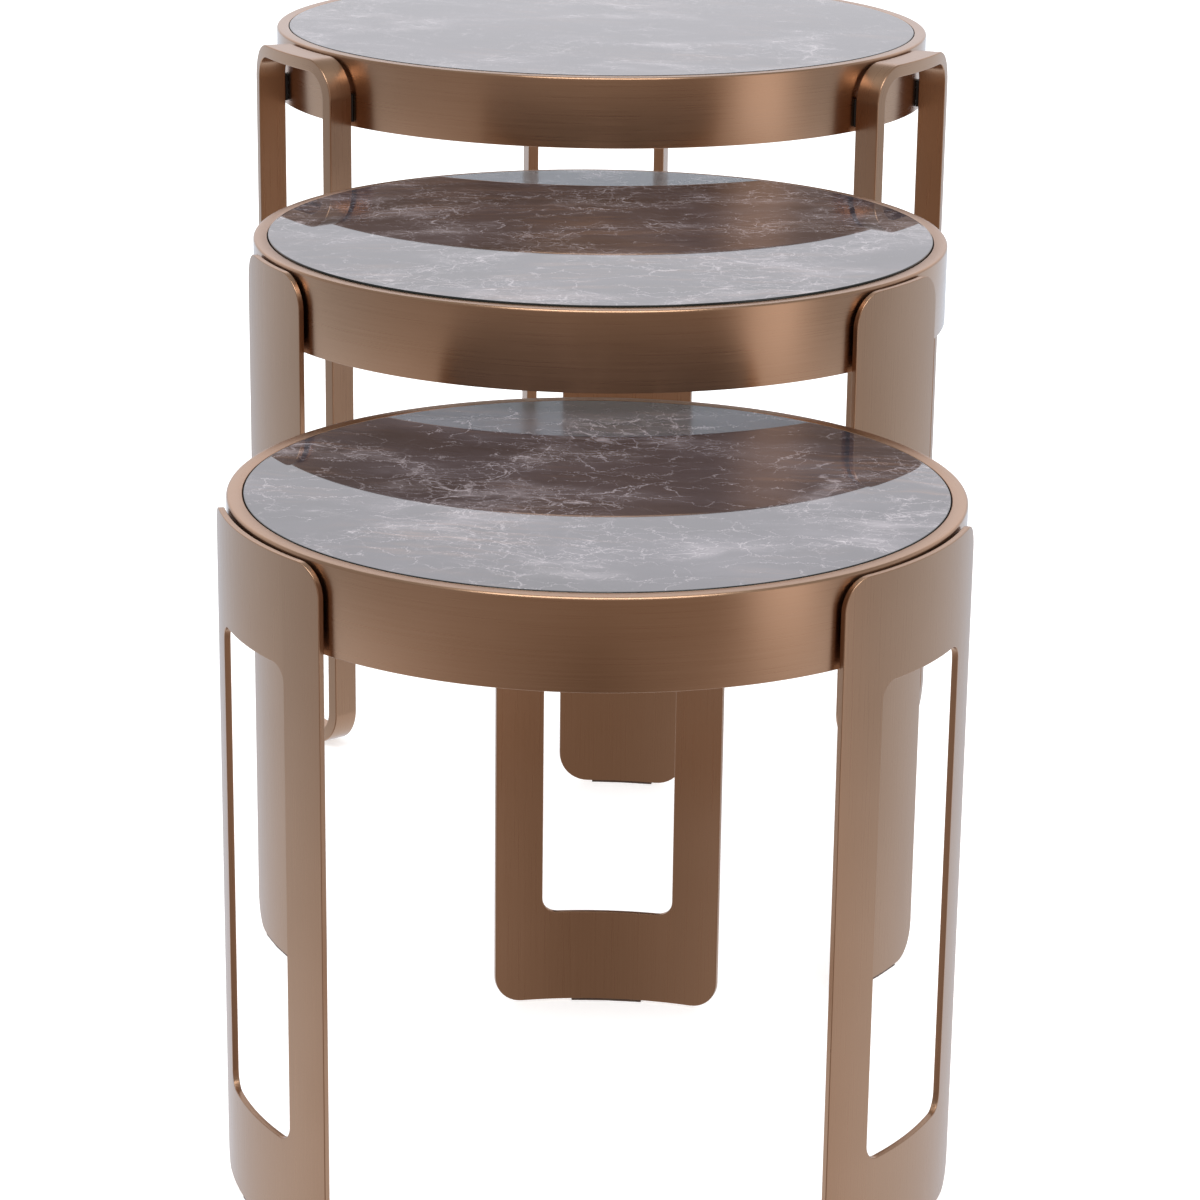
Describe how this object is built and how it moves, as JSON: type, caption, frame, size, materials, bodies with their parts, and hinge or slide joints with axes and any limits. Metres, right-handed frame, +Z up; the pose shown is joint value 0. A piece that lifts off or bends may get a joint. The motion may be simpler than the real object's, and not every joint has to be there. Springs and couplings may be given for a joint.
{
  "type": "nesting tables",
  "caption": "Round nesting side tables with marble-look glass tops in bronze metal rings, on curved plate and bar-frame legs, standing in a staggered row.",
  "frame": {"origin": "on the floor, under the middle of the row of tables", "axes": "+Z up; +Y along the row, from the small table to the large one; +X to the right of someone facing +Y from the small table's end"},
  "size_m": [0.577, 1.4836, 0.5872],
  "materials": {
    "brushed_bronze": "brushed, bronze tinted and clear lacquered",
    "marble_glass": "polished glass, back-printed as dark veined marble",
    "grey_panel": "fibreboard, grey gloss laminate",
    "black_rubber": "soft, matt",
    "black_nylon": "moulded, matt",
    "brown_nylon": "moulded, matt",
    "zinc_steel": "zinc plated"
  },
  "bodies": {
    "large_table": {"large_glass_top": "marble_glass", "large_gasket": "black_rubber", "large_panel": "grey_panel", "large_ring": "brushed_bronze", "large_leg_front_left": "brushed_bronze", "large_spacer_front_left_a": "black_nylon", "large_spacer_front_left_b": "black_nylon", "large_screw_front_left_a": "zinc_steel", "large_screw_front_left_b": "zinc_steel", "large_glide_front_left": "brown_nylon", "large_leg_front_right": "brushed_bronze", "large_spacer_front_right_a": "black_nylon", "large_spacer_front_right_b": "black_nylon", "large_screw_front_right_a": "zinc_steel", "large_screw_front_right_b": "zinc_steel", "large_glide_front_right": "brown_nylon", "large_leg_rear": "brushed_bronze", "large_spacer_rear_a": "black_nylon", "large_spacer_rear_b": "black_nylon", "large_screw_rear_a": "zinc_steel", "large_screw_rear_b": "zinc_steel", "large_glide_rear": "brown_nylon"},
    "middle_table": {"middle_glass_top": "marble_glass", "middle_gasket": "black_rubber", "middle_panel": "grey_panel", "middle_ring": "brushed_bronze", "middle_leg_front_left": "brushed_bronze", "middle_spacer_front_left": "black_nylon", "middle_screw_front_left_a": "zinc_steel", "middle_screw_front_left_b": "zinc_steel", "middle_glide_front_left": "brown_nylon", "middle_leg_front_right": "brushed_bronze", "middle_spacer_front_right": "black_nylon", "middle_screw_front_right_a": "zinc_steel", "middle_screw_front_right_b": "zinc_steel", "middle_glide_front_right": "brown_nylon", "middle_leg_rear": "brushed_bronze", "middle_spacer_rear": "black_nylon", "middle_screw_rear_a": "zinc_steel", "middle_screw_rear_b": "zinc_steel", "middle_glide_rear": "brown_nylon"},
    "small_table": {"small_glass_top": "marble_glass", "small_gasket": "black_rubber", "small_panel": "grey_panel", "small_ring": "brushed_bronze", "small_leg_front_left": "brushed_bronze", "small_spacer_front_left": "black_nylon", "small_screw_front_left_a": "zinc_steel", "small_screw_front_left_b": "zinc_steel", "small_glide_front_left": "brown_nylon", "small_leg_front_right": "brushed_bronze", "small_spacer_front_right": "black_nylon", "small_screw_front_right_a": "zinc_steel", "small_screw_front_right_b": "zinc_steel", "small_glide_front_right": "brown_nylon", "small_leg_rear": "brushed_bronze", "small_spacer_rear": "black_nylon", "small_screw_rear_a": "zinc_steel", "small_screw_rear_b": "zinc_steel", "small_glide_rear": "brown_nylon"}
  },
  "joints": [
    {"name": "middle_slides", "type": "slide", "parent": "large_table", "child": "middle_table", "axis": [0, 1, 0], "range_m": [-0.3, 0.18]},
    {"name": "small_slides", "type": "slide", "parent": "middle_table", "child": "small_table", "axis": [0, 1, 0], "range_m": [-0.3, 0.088]}
  ]
}
